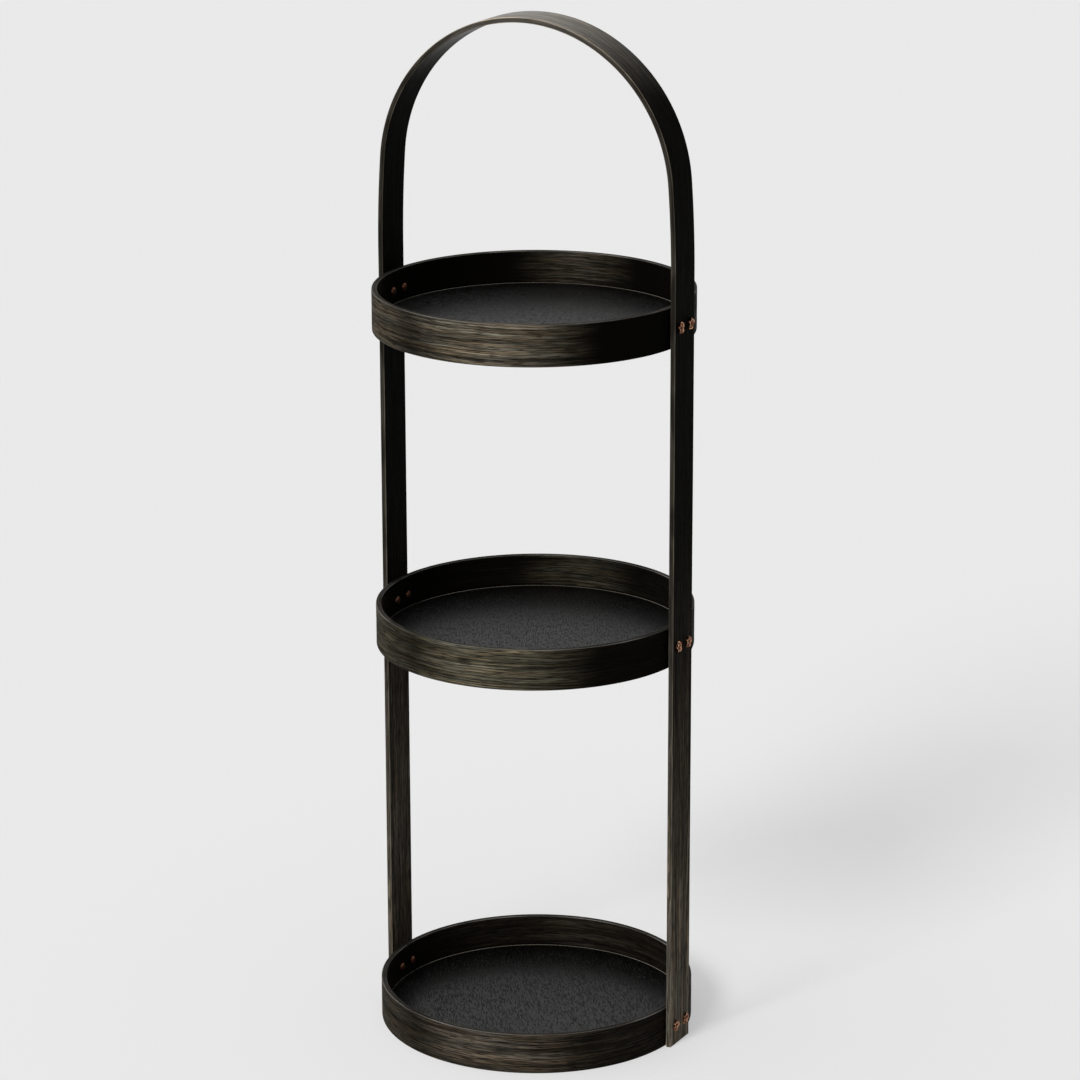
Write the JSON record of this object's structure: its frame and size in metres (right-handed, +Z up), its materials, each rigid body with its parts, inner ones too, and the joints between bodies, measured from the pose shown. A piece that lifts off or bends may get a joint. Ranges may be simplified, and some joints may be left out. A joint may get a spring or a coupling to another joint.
{
  "type": "tiered bathroom storage caddy",
  "caption": "Free-standing tiered storage caddy: round rimmed trays riveted between two legs that are one bent wood strap, arched at the top as a carrying handle.",
  "frame": {"origin": "on the surface that the caddy stands on, below the centre of the trays", "axes": "+Z up through the trays' centres, X from leg to leg, Y across the strap's width, -Y to the front"},
  "size_m": [0.2736, 0.26, 0.8427],
  "materials": {
    "strap_oak": "open-grained oak strip, dark stained, satin oil",
    "rim_oak": "open-grained oak strip, dark stained, satin oil",
    "floor_board": "fine-pored board, dark stained, matt",
    "copper": "bare copper, slightly dulled"
  },
  "bodies": {
    "root": {"handle_strap": "strap_oak", "bottom_tray_rim": "rim_oak", "bottom_tray_floor": "floor_board", "middle_tray_rim": "rim_oak", "middle_tray_floor": "floor_board", "top_tray_rim": "rim_oak", "top_tray_floor": "floor_board", "rivet_bottom_left_front": "copper", "rivet_bottom_left_back": "copper", "rivet_bottom_right_front": "copper", "rivet_bottom_right_back": "copper", "rivet_middle_left_front": "copper", "rivet_middle_left_back": "copper", "rivet_middle_right_front": "copper", "rivet_middle_right_back": "copper", "rivet_top_left_front": "copper", "rivet_top_left_back": "copper", "rivet_top_right_front": "copper", "rivet_top_right_back": "copper"}
  },
  "joints": []
}
